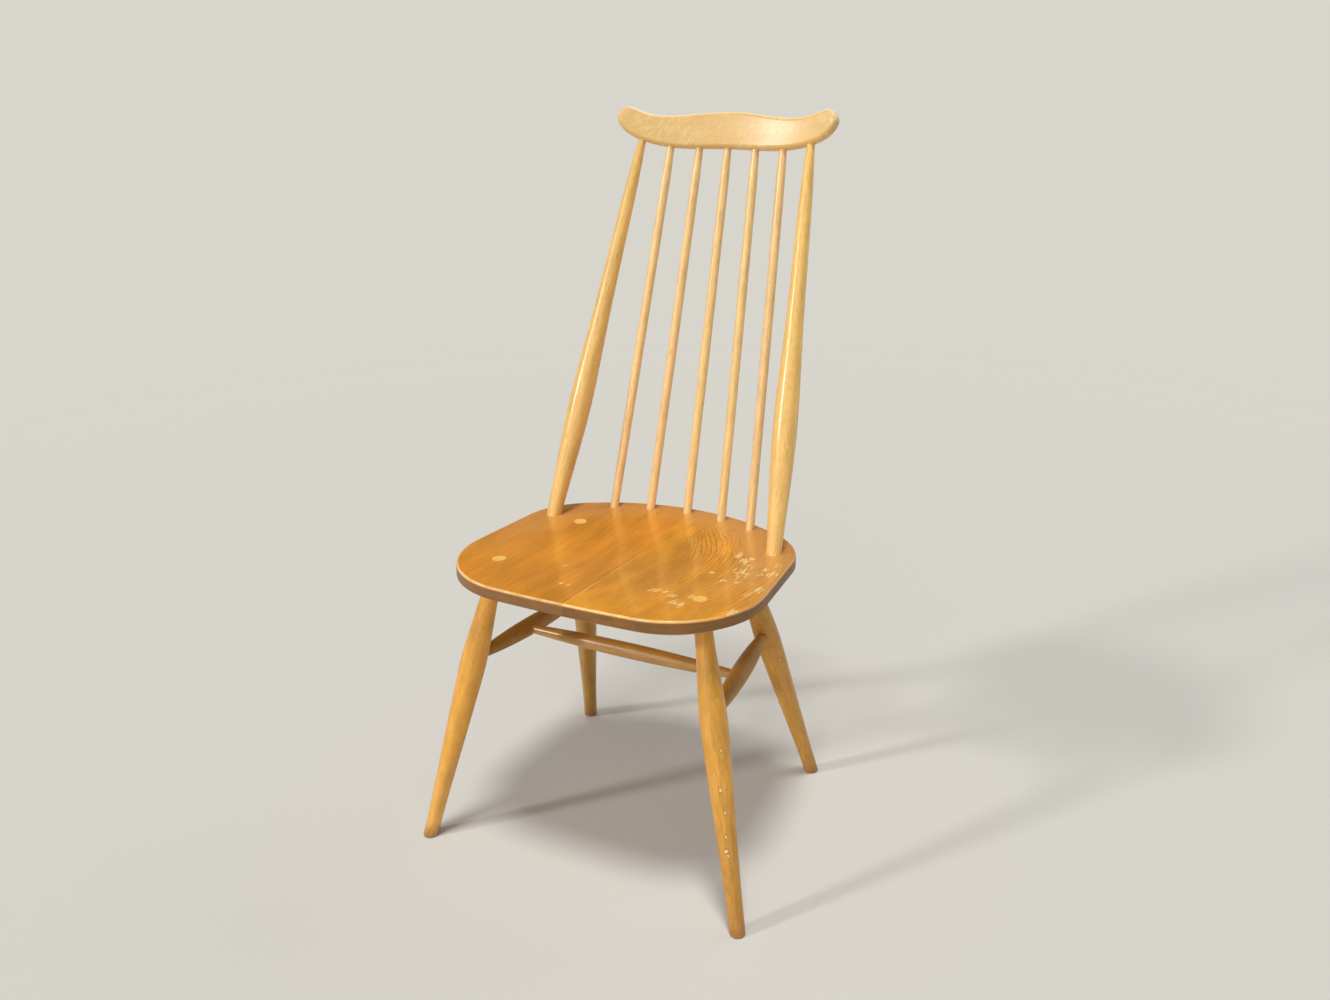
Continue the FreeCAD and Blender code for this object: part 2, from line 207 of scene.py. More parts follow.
@dataclass(frozen=True)
class Chip:
    """Knock that went through the varnish of a turned piece, in millimetres.

    Attributes:
        at: Its middle, on the surface of the piece.
        width: Half its width across the fibres.
        length: Half its length along them.
    """

    at: tuple[float, float, float]
    width: float = 1.6
    length: float = 2.6


@dataclass(frozen=True)
class FootMarkAndPaintedLight:
    """Band up a leg from the floor: a mark that shoes and floors leave, and on the front left leg
    painted light.

    Attributes:
        height_mm: Height at which it ends.
        colour: Hex colour.
        depth: How strongly it shows, from 0 to 1.
    """

    height_mm: float
    colour: str
    depth: float = 0.55


class TimberShader:
    """Node material of one piece of varnished timber, drawn in the log that the piece came from."""

    def __init__(self, piece: str, timber: Timber, grain: Grain, tone: float = 1.0) -> None:
        """Starts the material of a piece.

        Args:
            piece: Name of the piece, which ends the material's name.
            timber: Kind of timber.
            grain: Place of the piece in its log.
            tone: How light this piece is beside others of its timber.
        """
        self.timber = timber
        self.grain = grain
        self.tone = tone
        self.material = new_material(f"{timber.name}_{piece}")
        self.tree = self.material.node_tree
        self.place = add(self.tree, "TexCoord", output="Object")
        self.normal = self.place.node.outputs["Normal"]
        self.log_place = self.find_log_place()
        self.ring_place = self.find_ring_place()
        self.worn: bpy.types.NodeSocket | None = None

    def grow(self, ring_share: bpy.types.NodeSocket | float = 1.0) -> None:
        """Draws the timber itself.

        Args:
            ring_share: How much of its rings shows, one value or one for each place.
        """
        self.colour = self.rings(ring_share)
        self.height = self.streaks()
        self.tones()

    def local(self, middle: Vector, turn: Euler) -> bpy.types.NodeSocket:
        """Place of each point in a frame of its own, in millimetres.

        Args:
            middle: Origin of that frame, in metres.
            turn: Turn of that frame from the chair's.

        Returns:
            The place as a vector.
        """
        return add(self.tree, "Mapping", {
            "Vector": self.place, "Location": middle, "Rotation": turn, "Scale": (MM, MM, MM),
        }, vector_type="TEXTURE")

    def find_log_place(self) -> bpy.types.NodeSocket:
        """Place in the log: X outward from the pith, Y round it and Z along the fibres."""
        return self.local(self.grain.pith, self.grain.rotation())

    def drawn_out(
        self, width_mm: float, length_mm: float, detail: float = 2.0,
    ) -> bpy.types.NodeSocket:
        """Soft variation that is drawn out along the fibres.

        Args:
            width_mm: Size across the fibres.
            length_mm: Size along the fibres.
            detail: Octaves of finer variation.

        Returns:
            A value about 0.5.
        """
        shares = (1 / width_mm, 1 / width_mm, 1 / length_mm)
        place = add(self.tree, "VectorMath", {0: self.log_place, 1: shares}, operation="MULTIPLY")
        return add(self.tree, "TexNoise", {"Vector": place, "Scale": 1.0, "Detail": detail})

    def laid(self, share: bpy.types.NodeSocket, colour: str) -> None:
        """Lays a hex colour over the piece's own, as far as a share says at each place."""
        self.colour = add(
            self.tree, "Mix", {0: share, 6: self.colour, 7: linear(colour)}, 2, data_type="RGBA")

    def ring_radius(self) -> bpy.types.NodeSocket:
        """Distance from the pith, in millimetres."""
        flat = add(self.tree, "VectorMath", {0: self.log_place, 1: (1, 1, 0)}, operation="MULTIPLY")
        return add(self.tree, "VectorMath", {0: flat}, "Value", operation="LENGTH")

    def find_ring_place(self) -> bpy.types.NodeSocket:
        """Counts the growth rings from the pith, with the wander of real ones.

        Returns:
            The number of rings at each place.
        """
        strayed = add(self.tree, "Math", {
            0: self.drawn_out(45, 300), 1: 2 * self.timber.wander_mm, 2: self.ring_radius(),
        }, operation="MULTIPLY_ADD")
        return add(self.tree, "Math", {0: strayed, 1: self.timber.ring_mm}, operation="DIVIDE")

    def rings(self, ring_share: bpy.types.NodeSocket | float) -> bpy.types.NodeSocket:
        """Growth rings round the pith, each edged by a dark line and a line of pores.

        Args:
            ring_share: How much of the rings shows.

        Returns:
            The timber's colour.
        """
        timber = self.timber
        turn = add(self.tree, "Math", {0: self.ring_place}, operation="FRACT")
        lined = add(self.tree, "ValToRGB", {"Fac": turn})
        stops = lined.node.color_ramp.elements
        stops[0].color = stops[1].color = linear(timber.early)
        for place, colour in (
            (0.4, timber.early), (0.7, timber.late), (0.8, timber.late), (0.9, timber.pores),
        ):
            stops.new(place).color = linear(colour)
        shown = add(self.tree, "Math", {0: ring_share, 1: timber.ring_depth}, operation="MULTIPLY")
        return add(self.tree, "Mix", {
            0: shown, 6: linear(timber.early), 7: lined,
        }, 2, data_type="RGBA")

    def streaks(self) -> bpy.types.NodeSocket:
        """Draws the pores and fibres along the timber.

        Returns:
            Their relief in millimetres.
        """
        fine = self.drawn_out(*self.timber.fibre_mm, detail=3)
        share = add(self.tree, "MapRange", {
            "Value": fine, "From Min": 0.5, "From Max": 0.72, "To Max": self.timber.fibre_depth,
        })
        self.laid(share, self.timber.fibre)
        return add(self.tree, "Math", {0: fine, 1: -self.timber.relief_mm}, operation="MULTIPLY")

    def tones(self) -> None:
        """Broad changes of tone along the piece, and its own tone beside others."""
        depth = self.timber.tone_depth
        value = add(self.tree, "MapRange", {
            "Value": self.drawn_out(*self.timber.tone_mm), "From Min": 0.3, "From Max": 0.7,
            "To Min": self.tone * (1 - depth), "To Max": self.tone * (1 + depth),
        })
        self.colour = add(self.tree, "HueSaturation", {"Value": value, "Color": self.colour})

    def end_grain(self) -> None:
        """Draws end grain, dull because it drinks the varnish, where the fibres are cut across."""
        facing = add(self.tree, "VectorMath", {
            0: self.normal, 1: self.grain.along,
        }, "Value", operation="DOT_PRODUCT")
        across = add(self.tree, "Math", {0: facing}, operation="ABSOLUTE")
        cut = add(self.tree, "MapRange", {"Value": across, "From Min": 0.6, "From Max": 0.95})
        uneven = add(self.tree, "MapRange", {
            "Value": self.drawn_out(5, 5, 3), "From Min": 0.35, "From Max": 0.6,
            "To Min": 0.75, "To Max": 1.0,
        })
        share = add(self.tree, "Math", {0: cut, 1: uneven}, operation="MULTIPLY")
        self.laid(share, self.timber.end)
        self.dulled(cut)

    def dulled(self, share: bpy.types.NodeSocket) -> None:
        """Takes off the clear film and its shine, as far as a share says at each place."""
        self.worn = share if self.worn is None else add(
            self.tree, "Math", {0: self.worn, 1: share}, operation="MAXIMUM")

    def wear(self, share: bpy.types.NodeSocket, depth_mm: float = 0.1) -> None:
        """Wears the varnish through to bare timber.

        Args:
            share: How far it is gone at each place.
            depth_mm: How deep the worn place lies.
        """
        self.laid(share, self.timber.bare)
        self.height = add(
            self.tree, "Math", {0: share, 1: -depth_mm, 2: self.height}, operation="MULTIPLY_ADD")
        self.dulled(share)

    def knocks(self, amount: float, cell_mm: float = 16.0, size_mm: float = 2.2) -> None:
        """Scatters small knocks that went through the varnish.

        Args:
            amount: Share of the places where a knock may be that have one.
            cell_mm: Spacing of those places.
            size_mm: Largest radius of a knock.
        """
        cells = add(self.tree, "VectorMath", {
            0: self.log_place, 1: (1 / cell_mm, 1 / cell_mm, 0.6 / cell_mm),
        }, operation="MULTIPLY")
        spot = add(self.tree, "TexVoronoi", {"Vector": cells, "Scale": 1.0})
        chance = add(self.tree, "SeparateColor", {0: spot.node.outputs["Color"]})
        size = add(self.tree, "MapRange", {
            "Value": chance, "From Min": 1 - amount, "From Max": 1.0, "To Max": size_mm / cell_mm,
        })
        inside = add(self.tree, "Math", {0: size, 1: spot}, operation="SUBTRACT")
        share = add(self.tree, "MapRange", {
            "Value": inside, "From Max": 0.25 * size_mm / cell_mm, "To Max": 0.8})
        self.wear(share, KNOCK_DEPTH_MM)

    def chips(self, chips: tuple[Chip, ...]) -> None:
        """Knocks chips out of the varnish.

        Args:
            chips: The chips.
        """
        ragged = add(self.tree, "Math", {
            0: self.drawn_out(1.5, 3), 1: 0.9, 2: -0.45,
        }, operation="MULTIPLY_ADD")
        for chip in chips:
            place = add(self.tree, "Mapping", {
                "Vector": self.place, "Location": Vector(chip.at) * MM,
                "Rotation": self.grain.rotation(),
                "Scale": Vector((chip.width, chip.width, chip.length)) * MM,
            }, vector_type="TEXTURE")
            distance = add(self.tree, "VectorMath", {0: place}, "Value", operation="LENGTH")
            edge = add(self.tree, "Math", {0: distance, 1: ragged}, operation="ADD")
            halo = add(self.tree, "MapRange", {
                "Value": edge, "From Min": 1.9, "From Max": 1.1, "To Max": 0.5})
            self.laid(halo, self.timber.fibre)
            through = add(self.tree, "MapRange", {"Value": edge, "From Min": 1.1, "From Max": 0.7})
            self.wear(through, KNOCK_DEPTH_MM)

    def finished(self) -> bpy.types.Material:
        """Lays the varnish over the timber and closes the material.

        Returns:
            The material.
        """
        timber, tree = self.timber, self.tree
        varnish = timber.varnish
        dull = add(tree, "MapRange", {
            "Value": self.drawn_out(25, 60), "From Min": 0.3, "From Max": 0.7,
            "To Min": varnish.roughness - varnish.spread,
            "To Max": varnish.roughness + varnish.spread,
        })
        film = varnish.film
        if self.worn is not None:
            dull = add(tree, "Mix", {0: self.worn, 2: dull, 3: varnish.bare})
            if film:
                film = add(tree, "Mix", {0: self.worn, 2: film, 3: 0.0})
        relief = add(tree, "Bump", {
            "Height": self.height, "Distance": MM, "Strength": 1.0,
        }, "Normal")
        surface = add(tree, "BsdfPrincipled", {
            "Base Color": self.colour, "Roughness": dull, "Normal": relief, "IOR": varnish.ior,
            "Coat Weight": film, "Coat Roughness": varnish.film_roughness,
            "Coat IOR": varnish.ior,
        })
        add(tree, "OutputMaterial", {"Surface": surface})
        return self.material


# Beech, turned and steam-bent, under satin varnish: close and even, with faint rings and short
# darker flecks. The flecks are about 0.5 mm wide, and drawn twice as wide so that they show.
BEECH_FLECK_MM = (1.0, 14.0)
# Legs and stretchers: honey gold, deepened by age and polish.
BEECH_LEGS = Timber(
    "beech_undercarriage", early="#dda03c", late="#c28432", pores="#e0ae58", fibre="#a86828",
    end="#ffc660", bare="#f3d498", ring_mm=2.6, ring_depth=0.3, wander_mm=2.6,
    fibre_mm=BEECH_FLECK_MM, fibre_depth=0.48, tone_mm=(10.0, 45.0), tone_depth=0.13,
    relief_mm=0.04,
)
# Posts: paler, under a brighter film that draws a long soft light down each.
BEECH_POSTS = Timber(
    "beech_posts", early="#f5c670", late="#e0aa54", pores="#f8d084", fibre="#bb8440",
    end="#eab86e", bare="#fcecc8", ring_mm=3.0, ring_depth=0.35, wander_mm=2.4,
    fibre_mm=BEECH_FLECK_MM, fibre_depth=0.55, tone_mm=(12.0, 60.0), tone_depth=0.09,
    relief_mm=0.04, varnish=Varnish(film=0.4, film_roughness=0.2),
)
# Sticks: the palest turned pieces.
BEECH_STICKS = Timber(
    "beech_sticks", early="#fad58c", late="#e3b370", pores="#f8dca8", fibre="#c08a56",
    end="#eab86e", bare="#fcecc8", ring_mm=2.4, ring_depth=0.35, wander_mm=1.5,
    fibre_mm=BEECH_FLECK_MM, fibre_depth=0.5, tone_mm=(8.0, 45.0), tone_depth=0.09,
    relief_mm=0.04,
)
# Crest rail: smooth from hands, so that its sheen is broad and soft.
# Its bare colour serves only as the painted highlight of its edges.
BEECH_CREST = Timber(
    "beech_crest", early="#ecbf72", late="#dcaa5e", pores="#f0c67e", fibre="#c8974f",
    end="#e6bc7c", bare="#fff0c6", ring_mm=3.4, ring_depth=0.35, wander_mm=3.0,
    fibre_mm=BEECH_FLECK_MM, fibre_depth=0.2, tone_depth=0.06,
    varnish=Varnish(roughness=0.46, film=0.3, film_roughness=0.24),
)
# Wedges: end grain, pale and dull.
BEECH_WEDGES = Timber(
    "beech_wedges", early="#fbc465", late="#f2b858", pores="#fcc76a", fibre="#e6a94c",
    end="#fcc262", bare="#f0d09a", ring_mm=2.0, ring_depth=0.3, wander_mm=1.0,
    fibre_mm=BEECH_FLECK_MM, fibre_depth=0.2, varnish=Varnish(roughness=0.7, film=0.0),
)

# Elm, dished by hand and varnished: amber, with bold rings that the dish cuts like the lines of a
# map. The film is clear enough to mirror the posts and sticks.
SEAT_VARNISH = Varnish(roughness=0.32, spread=0.06, film=0.5, film_roughness=0.09)
ELM_LEFT = Timber(
    "elm_left", early="#e99628", late="#d2821e", pores="#e99c2e", fibre="#b26a16",
    end="#6c5036", bare="#f4d49a", ring_mm=9.0, ring_depth=0.3, wander_mm=16.0,
    fibre_mm=(2.0, 55.0), fibre_depth=0.28, tone_mm=(34.0, 110.0), tone_depth=0.16,
    varnish=SEAT_VARNISH,
)
ELM_RIGHT = Timber(
    "elm_right", early="#f0a02a", late="#c6781a", pores="#ffc870", fibre="#bc741c",
    end="#583f25", bare="#fcdc98", ring_mm=6.0, ring_depth=0.9, wander_mm=9.0,
    fibre_mm=(2.2, 60.0), fibre_depth=0.45, tone_mm=(30.0, 80.0), tone_depth=0.17,
    varnish=SEAT_VARNISH,
)


@dataclass(frozen=True)
class Patch:
    """Worn patch of the seat, in millimetres in the plane of its rim.

    Attributes:
        x: To the right of the middle.
        y: Back from the front edge.
        across: Half its width.
        deep: Half its depth from front to back.
    """

    x: float
    y: float
    across: float
    deep: float


@dataclass(frozen=True)
class BoardWear:
    """Wear of one board of the seat, with the light and shade painted along its glue joint.

    Attributes:
        rim: How far its rim is paled, from 0 to 1.
        scuff_colour: Hex colour of its scratches.
        ridge_light_shade_colour: Hex colour of the line along the glue joint: the painted highlight
            of a slight ridge on the right board, its painted shade on the left.
        glue_mm: Distances from the joint at which that line is full and gone.
        patches: Places that are worn through to bare timber.
    """

    rim: float
    scuff_colour: str
    ridge_light_shade_colour: str
    glue_mm: tuple[float, float]
    patches: tuple[Patch, ...]


LEFT_WEAR = BoardWear(
    rim=0.5, scuff_colour="#f0bc6c", ridge_light_shade_colour="#b87418", glue_mm=(0.5, 5.0),
    patches=(Patch(-195, 97, 5, 4), Patch(-60, 120, 8, 5), Patch(-30, 60, 9, 4)),
)
# Most of the worn patches are along the right side.
RIGHT_WEAR = BoardWear(
    rim=0.75, scuff_colour="#f8c878", ridge_light_shade_colour="#ffc056", glue_mm=(1.0, 3.2),
    patches=(
        Patch(139, 255, 8, 13), Patch(151, 234, 10, 15), Patch(165, 216, 9, 15),
        Patch(161, 203, 9, 14), Patch(171, 188, 10, 16), Patch(174, 168, 8, 10),
        Patch(190, 220, 6, 7), Patch(190, 200, 8, 8), Patch(206, 208, 9, 14),
        Patch(201, 240, 6, 7), Patch(211, 156, 8, 14), Patch(203, 134, 7, 9),
        Patch(207, 74, 8, 16), Patch(159, 248, 6, 5), Patch(95, 97, 12, 6),
        Patch(85, 92, 8, 5), Patch(118, 87, 10, 6), Patch(131, 66, 12, 14),
        Patch(150, 94, 20, 6), Patch(129, 182, 6, 4), Patch(156, 161, 7, 5),
    ),
)
# Scratches are about 0.2 mm wide, and drawn wider so that they show.
SCRATCH_MM = (0.9, 38.0, 10.0)
SCRATCH_TURNS = (0.5, -0.35)
# Faint bands of the sawn sides: their size along, across and up.
SIDE_BAND_MM = (50.0, 50.0, 6.25)
# Blotches of about 9 mm, in which a worn patch is more and less worn.
BLOTCHES_PER_MM = 0.11
# Strokes of a worn patch, which come to about 2 mm across and 15 mm along the rings.
STROKES_PER_RING = 2.2
STROKES_PER_RADIAN = 6.0


class SeatShader(TimberShader):
    """Elm of a seat board, with the wear of its rim and its worn patches, a painted highlight along
    its front arris and painted light and shade along its glue joint.
    """

    def __init__(self, piece: str, timber: Timber, grain: Grain, seat: "Seat") -> None:
        """Starts the material of a board.

        Args:
            piece: Name of the board.
            timber: Its elm.
            grain: Place of the board in its log.
            seat: Seat that the board belongs to.
        """
        self.seat = seat
        super().__init__(piece, timber, grain)
        self.seat_place = self.local(seat.corner(), seat.turn())
        self.x = add(self.tree, "SeparateXYZ", {0: self.seat_place})
        self.y, self.z = self.x.node.outputs["Y"], self.x.node.outputs["Z"]
        self.upward = add(self.tree, "VectorMath", {
            0: self.normal, 1: seat.face(),
        }, "Value", operation="DOT_PRODUCT")
        self.top = add(self.tree, "MapRange", {
            "Value": self.upward, "From Min": 0.5, "From Max": 0.9})
        self.from_dish = add(self.tree, "VectorMath", {
            0: self.seat_place, 1: (0, seat.dish_mm, 0),
        }, operation="SUBTRACT")
        self.dish_radius = add(
            self.tree, "VectorMath", {0: self.from_dish}, "Value", operation="LENGTH")

    def weather(self, wear: BoardWear) -> None:
        """Wears the board as years of use have worn it, and paints a highlight along its front
        arris and the light and shade of a ridge along its glue joint.

        Args:
            wear: Its wear.
        """
        self.rim(wear.rim)
        self.scuffs(wear.scuff_colour)
        self.sides()
        self.painted_joint_ridge(wear.ridge_light_shade_colour, *wear.glue_mm)
        self.worn_patches(wear.patches)
        self.painted_arris_highlight()

    def scuffs(self, colour: str) -> None:
        """Scatters scratches over the varnish, in two directions.

        Args:
            colour: Hex colour of the scratches.
        """
        for turn in SCRATCH_TURNS:
            place = add(self.tree, "Mapping", {
                "Vector": self.seat_place, "Rotation": (0, 0, turn), "Scale": SCRATCH_MM,
            }, vector_type="TEXTURE")
            lines = add(self.tree, "TexNoise", {"Vector": place, "Scale": 1.0, "Detail": 1.0})
            share = add(self.tree, "MapRange", {
                "Value": lines, "From Min": 0.66, "From Max": 0.74, "To Max": 0.3})
            self.laid(share, colour)

    def sides(self) -> None:
        """Dulls the sides, which are handled and never polished, and leaves the underside raw."""
        below = add(self.tree, "MapRange", {
            "Value": self.upward, "From Min": -0.3, "From Max": -0.6})
        raw = add(self.tree, "Math", {0: below, 1: 0.7}, operation="MULTIPLY")
        self.laid(raw, self.seat.raw_colour)
        level = add(self.tree, "Math", {0: self.upward}, operation="ABSOLUTE")
        share = add(self.tree, "MapRange", {"Value": level, "From Min": 0.6, "From Max": 0.15})
        bands = add(
            self.tree, "VectorMath", {0: self.seat_place, 1: SIDE_BAND_MM}, operation="DIVIDE")
        mottled = add(self.tree, "MapRange", {
            "Value": add(self.tree, "TexNoise", {"Vector": bands, "Scale": 1.0, "Detail": 3.0}),
            "From Min": 0.35, "From Max": 0.65, "To Min": 0.86, "To Max": 0.76,
        })
        sawn = add(self.tree, "Math", {0: share, 1: mottled}, operation="MULTIPLY")
        self.laid(sawn, self.timber.end)
        self.dulled(add(self.tree, "Math", {
            0: share, 1: 0.6, 2: below,
        }, operation="MULTIPLY_ADD", use_clamp=True))

    def rim(self, depth: float) -> None:
        """Pales the rim outside the dish, most at the back.

        Args:
            depth: How far it is paled there, from 0 to 1.
        """
        level = add(self.tree, "MapRange", {"Value": self.z, "From Min": -1.2, "From Max": -0.1})
        back = add(self.tree, "MapRange", {
            "Value": self.y, "From Min": 50.0, "From Max": 260.0, "To Max": depth,
        }, interpolation_type="SMOOTHSTEP")
        share = add(self.tree, "Math", {0: level, 1: back}, operation="MULTIPLY")
        self.laid(share, self.seat.rim_colour)

    def flakes(self) -> bpy.types.NodeSocket:
        """Draws strokes that follow the growth rings.

        Returns:
            A value about 0.5, higher in the strokes.
        """
        x = add(self.tree, "SeparateXYZ", {0: self.from_dish})
        angle = add(self.tree, "Math", {0: x.node.outputs["Y"], 1: x}, operation="ARCTAN2")
        along = add(self.tree, "Math", {0: angle, 1: STROKES_PER_RADIAN}, operation="MULTIPLY")
        across = add(
            self.tree, "Math", {0: self.ring_place, 1: STROKES_PER_RING}, operation="MULTIPLY")
        place = add(self.tree, "CombineXYZ", {"X": across, "Y": along})
        return add(self.tree, "TexNoise", {"Vector": place, "Scale": 1.0, "Detail": 2.5})

    def worn_patches(self, patches: tuple[Patch, ...]) -> None:
        """Wears patches of the board through to bare timber, in strokes along the rings.

        Args:
            patches: The patches.
        """
        share = None
        for patch in patches:
            offset = add(self.tree, "VectorMath", {
                0: self.seat_place, 1: (patch.x, patch.y, 0),
            }, operation="SUBTRACT")
            scaled = add(self.tree, "VectorMath", {
                0: offset, 1: (1 / patch.across, 1 / patch.deep, 0),
            }, operation="MULTIPLY")
            distance = add(self.tree, "VectorMath", {0: scaled}, "Value", operation="LENGTH")
            inside = add(self.tree, "MapRange", {
                "Value": distance, "From Min": 1.3, "From Max": 0.7})
            share = inside if share is None else add(
                self.tree, "Math", {0: share, 1: inside}, operation="MAXIMUM")
        blotches = add(self.tree, "TexNoise", {
            "Vector": self.seat_place, "Scale": BLOTCHES_PER_MM, "Detail": 2.0})
        uneven = add(self.tree, "Math", {0: blotches, 1: share}, operation="MULTIPLY")
        broken = add(self.tree, "Math", {
            0: uneven, 1: 0.5, 2: self.flakes(),
        }, operation="MULTIPLY_ADD")
        worn = add(self.tree, "MapRange", {
            "Value": broken, "From Min": 0.72, "From Max": 0.82, "To Max": 0.8})
        self.wear(add(self.tree, "Math", {0: worn, 1: self.top}, operation="MULTIPLY"))

    def painted_arris_highlight(self) -> None:
        """Paints a highlight along the rounded upper edge, most at the front, in the timber's bare
        colour, and takes the film off there.
        """
        turned = add(self.tree, "MapRange", {
            "Value": self.upward, "From Min": 0.96, "From Max": 0.86})
        above = add(self.tree, "MapRange", {
            "Value": self.upward, "From Min": 0.3, "From Max": 0.6})
        left = add(self.tree, "MapRange", {
            "Value": self.x, "From Min": 205.0, "From Max": 130.0, "To Min": 0.35})
        front = add(self.tree, "MapRange", {
            "Value": self.y, "From Min": 200.0, "From Max": 40.0, "To Min": 0.4})
        rubbed = add(self.tree, "MapRange", {
            "Value": self.drawn_out(18, 18, 4), "From Min": 0.35, "From Max": 0.6,
            "To Min": 0.45, "To Max": 0.95,
        })
        # Painted highlight along the arris, laid in the bare colour.
        edge = add(self.tree, "Math", {0: turned, 1: above}, operation="MULTIPLY")
        edge = add(self.tree, "Math", {0: edge, 1: left}, operation="MULTIPLY")
        worn = add(self.tree, "Math", {0: front, 1: rubbed}, operation="MULTIPLY")
        self.wear(add(self.tree, "Math", {0: edge, 1: worn}, operation="MULTIPLY"), 0.0)

    def painted_joint_ridge(self, colour: str, near_mm: float, far_mm: float) -> None:
        """Paints the light and shade of a slight ridge along the glue joint, as a line that fades
        to the back.

        Args:
            colour: Hex colour of the line.
            near_mm: Distance from the joint at which the line is full.
            far_mm: Distance from the joint at which it is gone.
        """
        offset = add(
            self.tree, "Math", {0: self.x, 1: self.seat.joint_x_mm}, operation="SUBTRACT")
        distance = add(self.tree, "Math", {0: offset}, operation="ABSOLUTE")
        close = add(self.tree, "MapRange", {
            "Value": distance, "From Min": far_mm, "From Max": near_mm})
        front = add(self.tree, "MapRange", {
            "Value": self.y, "From Min": 240.0, "From Max": 130.0, "To Max": 0.85})
        broken = add(self.tree, "MapRange", {
            "Value": self.drawn_out(4, 22), "From Min": 0.38, "From Max": 0.55, "To Min": 0.25})
        # Painted highlight on the right board and painted shade on the left, of a ridge along the
        # joint.
        faded = add(self.tree, "Math", {0: close, 1: front}, operation="MULTIPLY")
        shown = add(self.tree, "Math", {0: broken, 1: self.top}, operation="MULTIPLY")
        self.laid(add(self.tree, "Math", {0: faded, 1: shown}, operation="MULTIPLY"), colour)


class DishedShader(SeatShader):
    """Elm of the flat-sawn board, whose rings the dish cuts like the lines of a map."""

    def ring_radius(self) -> bpy.types.NodeSocket:
        """Measures from the middle of the dish, with the rings longer to the back.

        Returns:
            The distance in millimetres.
        """
        place = self.local(self.seat.middle(), self.seat.turn())
        shares = (1, 1 / self.seat.ring_stretch, 0)
        pressed = add(self.tree, "VectorMath", {0: place, 1: shares}, operation="MULTIPLY")
        radius = add(self.tree, "VectorMath", {0: pressed}, "Value", operation="LENGTH")
        return add(self.tree, "Math", {
            0: self.drawn_out(16, 70), 1: 1.6 * self.timber.ring_mm, 2: radius,
        }, operation="MULTIPLY_ADD")

    def ring_share(self) -> bpy.types.NodeSocket:
        """Hides most of the rings in the middle of the dish, and few at its right.

        Returns:
            The share of the rings that shows.
        """
        outside = add(self.tree, "MapRange", {
            "Value": self.dish_radius, "From Min": 55.0, "From Max": 95.0, "To Min": 0.12,
        })
        right = add(self.tree, "VectorMath", {
            0: self.from_dish, 1: (1.0, 0.15, 0),
        }, "Value", operation="DOT_PRODUCT")
        sided = add(self.tree, "MapRange", {
            "Value": right, "From Min": 5.0, "From Max": 75.0, "To Min": 0.25,
        })
        uneven = add(self.tree, "MapRange", {
            "Value": self.drawn_out(22, 45), "From Min": 0.35, "From Max": 0.6, "To Min": 0.4,
        })
        behind = add(self.tree, "MapRange", {
            "Value": self.y, "From Min": 40.0, "From Max": 150.0, "To Min": 0.45})
        share = outside
        for factor in (sided, uneven, behind, self.top):
            share = add(self.tree, "Math", {0: share, 1: factor}, operation="MULTIPLY")
        return share

    def deepened_middle(self, share: float) -> None:
        """Deepens the colour of the dish.

        Args:
            share: How much deeper it is at the middle.
        """
        value = add(self.tree, "MapRange", {
            "Value": self.dish_radius, "From Min": 70.0, "From Max": 170.0, "To Min": 1 - share,
        }, interpolation_type="SMOOTHSTEP")
        self.colour = add(self.tree, "HueSaturation", {"Value": value, "Color": self.colour})


class TurnedShader(TimberShader):
    """Beech of a turned piece, with the marks of feet and floors, and bands of painted light where
    given.
    """

    def foot(self, mark: FootMarkAndPaintedLight) -> None:
        """Lays a band up the piece from the floor, with a ragged upper edge; it draws the marks of
        feet and floors, and also painted light.

        Args:
            mark: The mark.
        """
        end = mark.height_mm * MM
        height = add(self.tree, "SeparateXYZ", {0: self.place}, "Z")
        ragged = add(self.tree, "Math", {
            0: self.drawn_out(5, 20, 4), 1: end, 2: height,
        }, operation="MULTIPLY_ADD")
        share = add(self.tree, "MapRange", {
            "Value": ragged, "From Min": 1.2 * end, "From Max": 0.5 * end, "To Max": mark.depth,
        })
        self.laid(share, mark.colour)


# Rays run deep into the timber, so that the whole bowed face cuts the same ones.
RAY_DEPTH_MM = 40.0


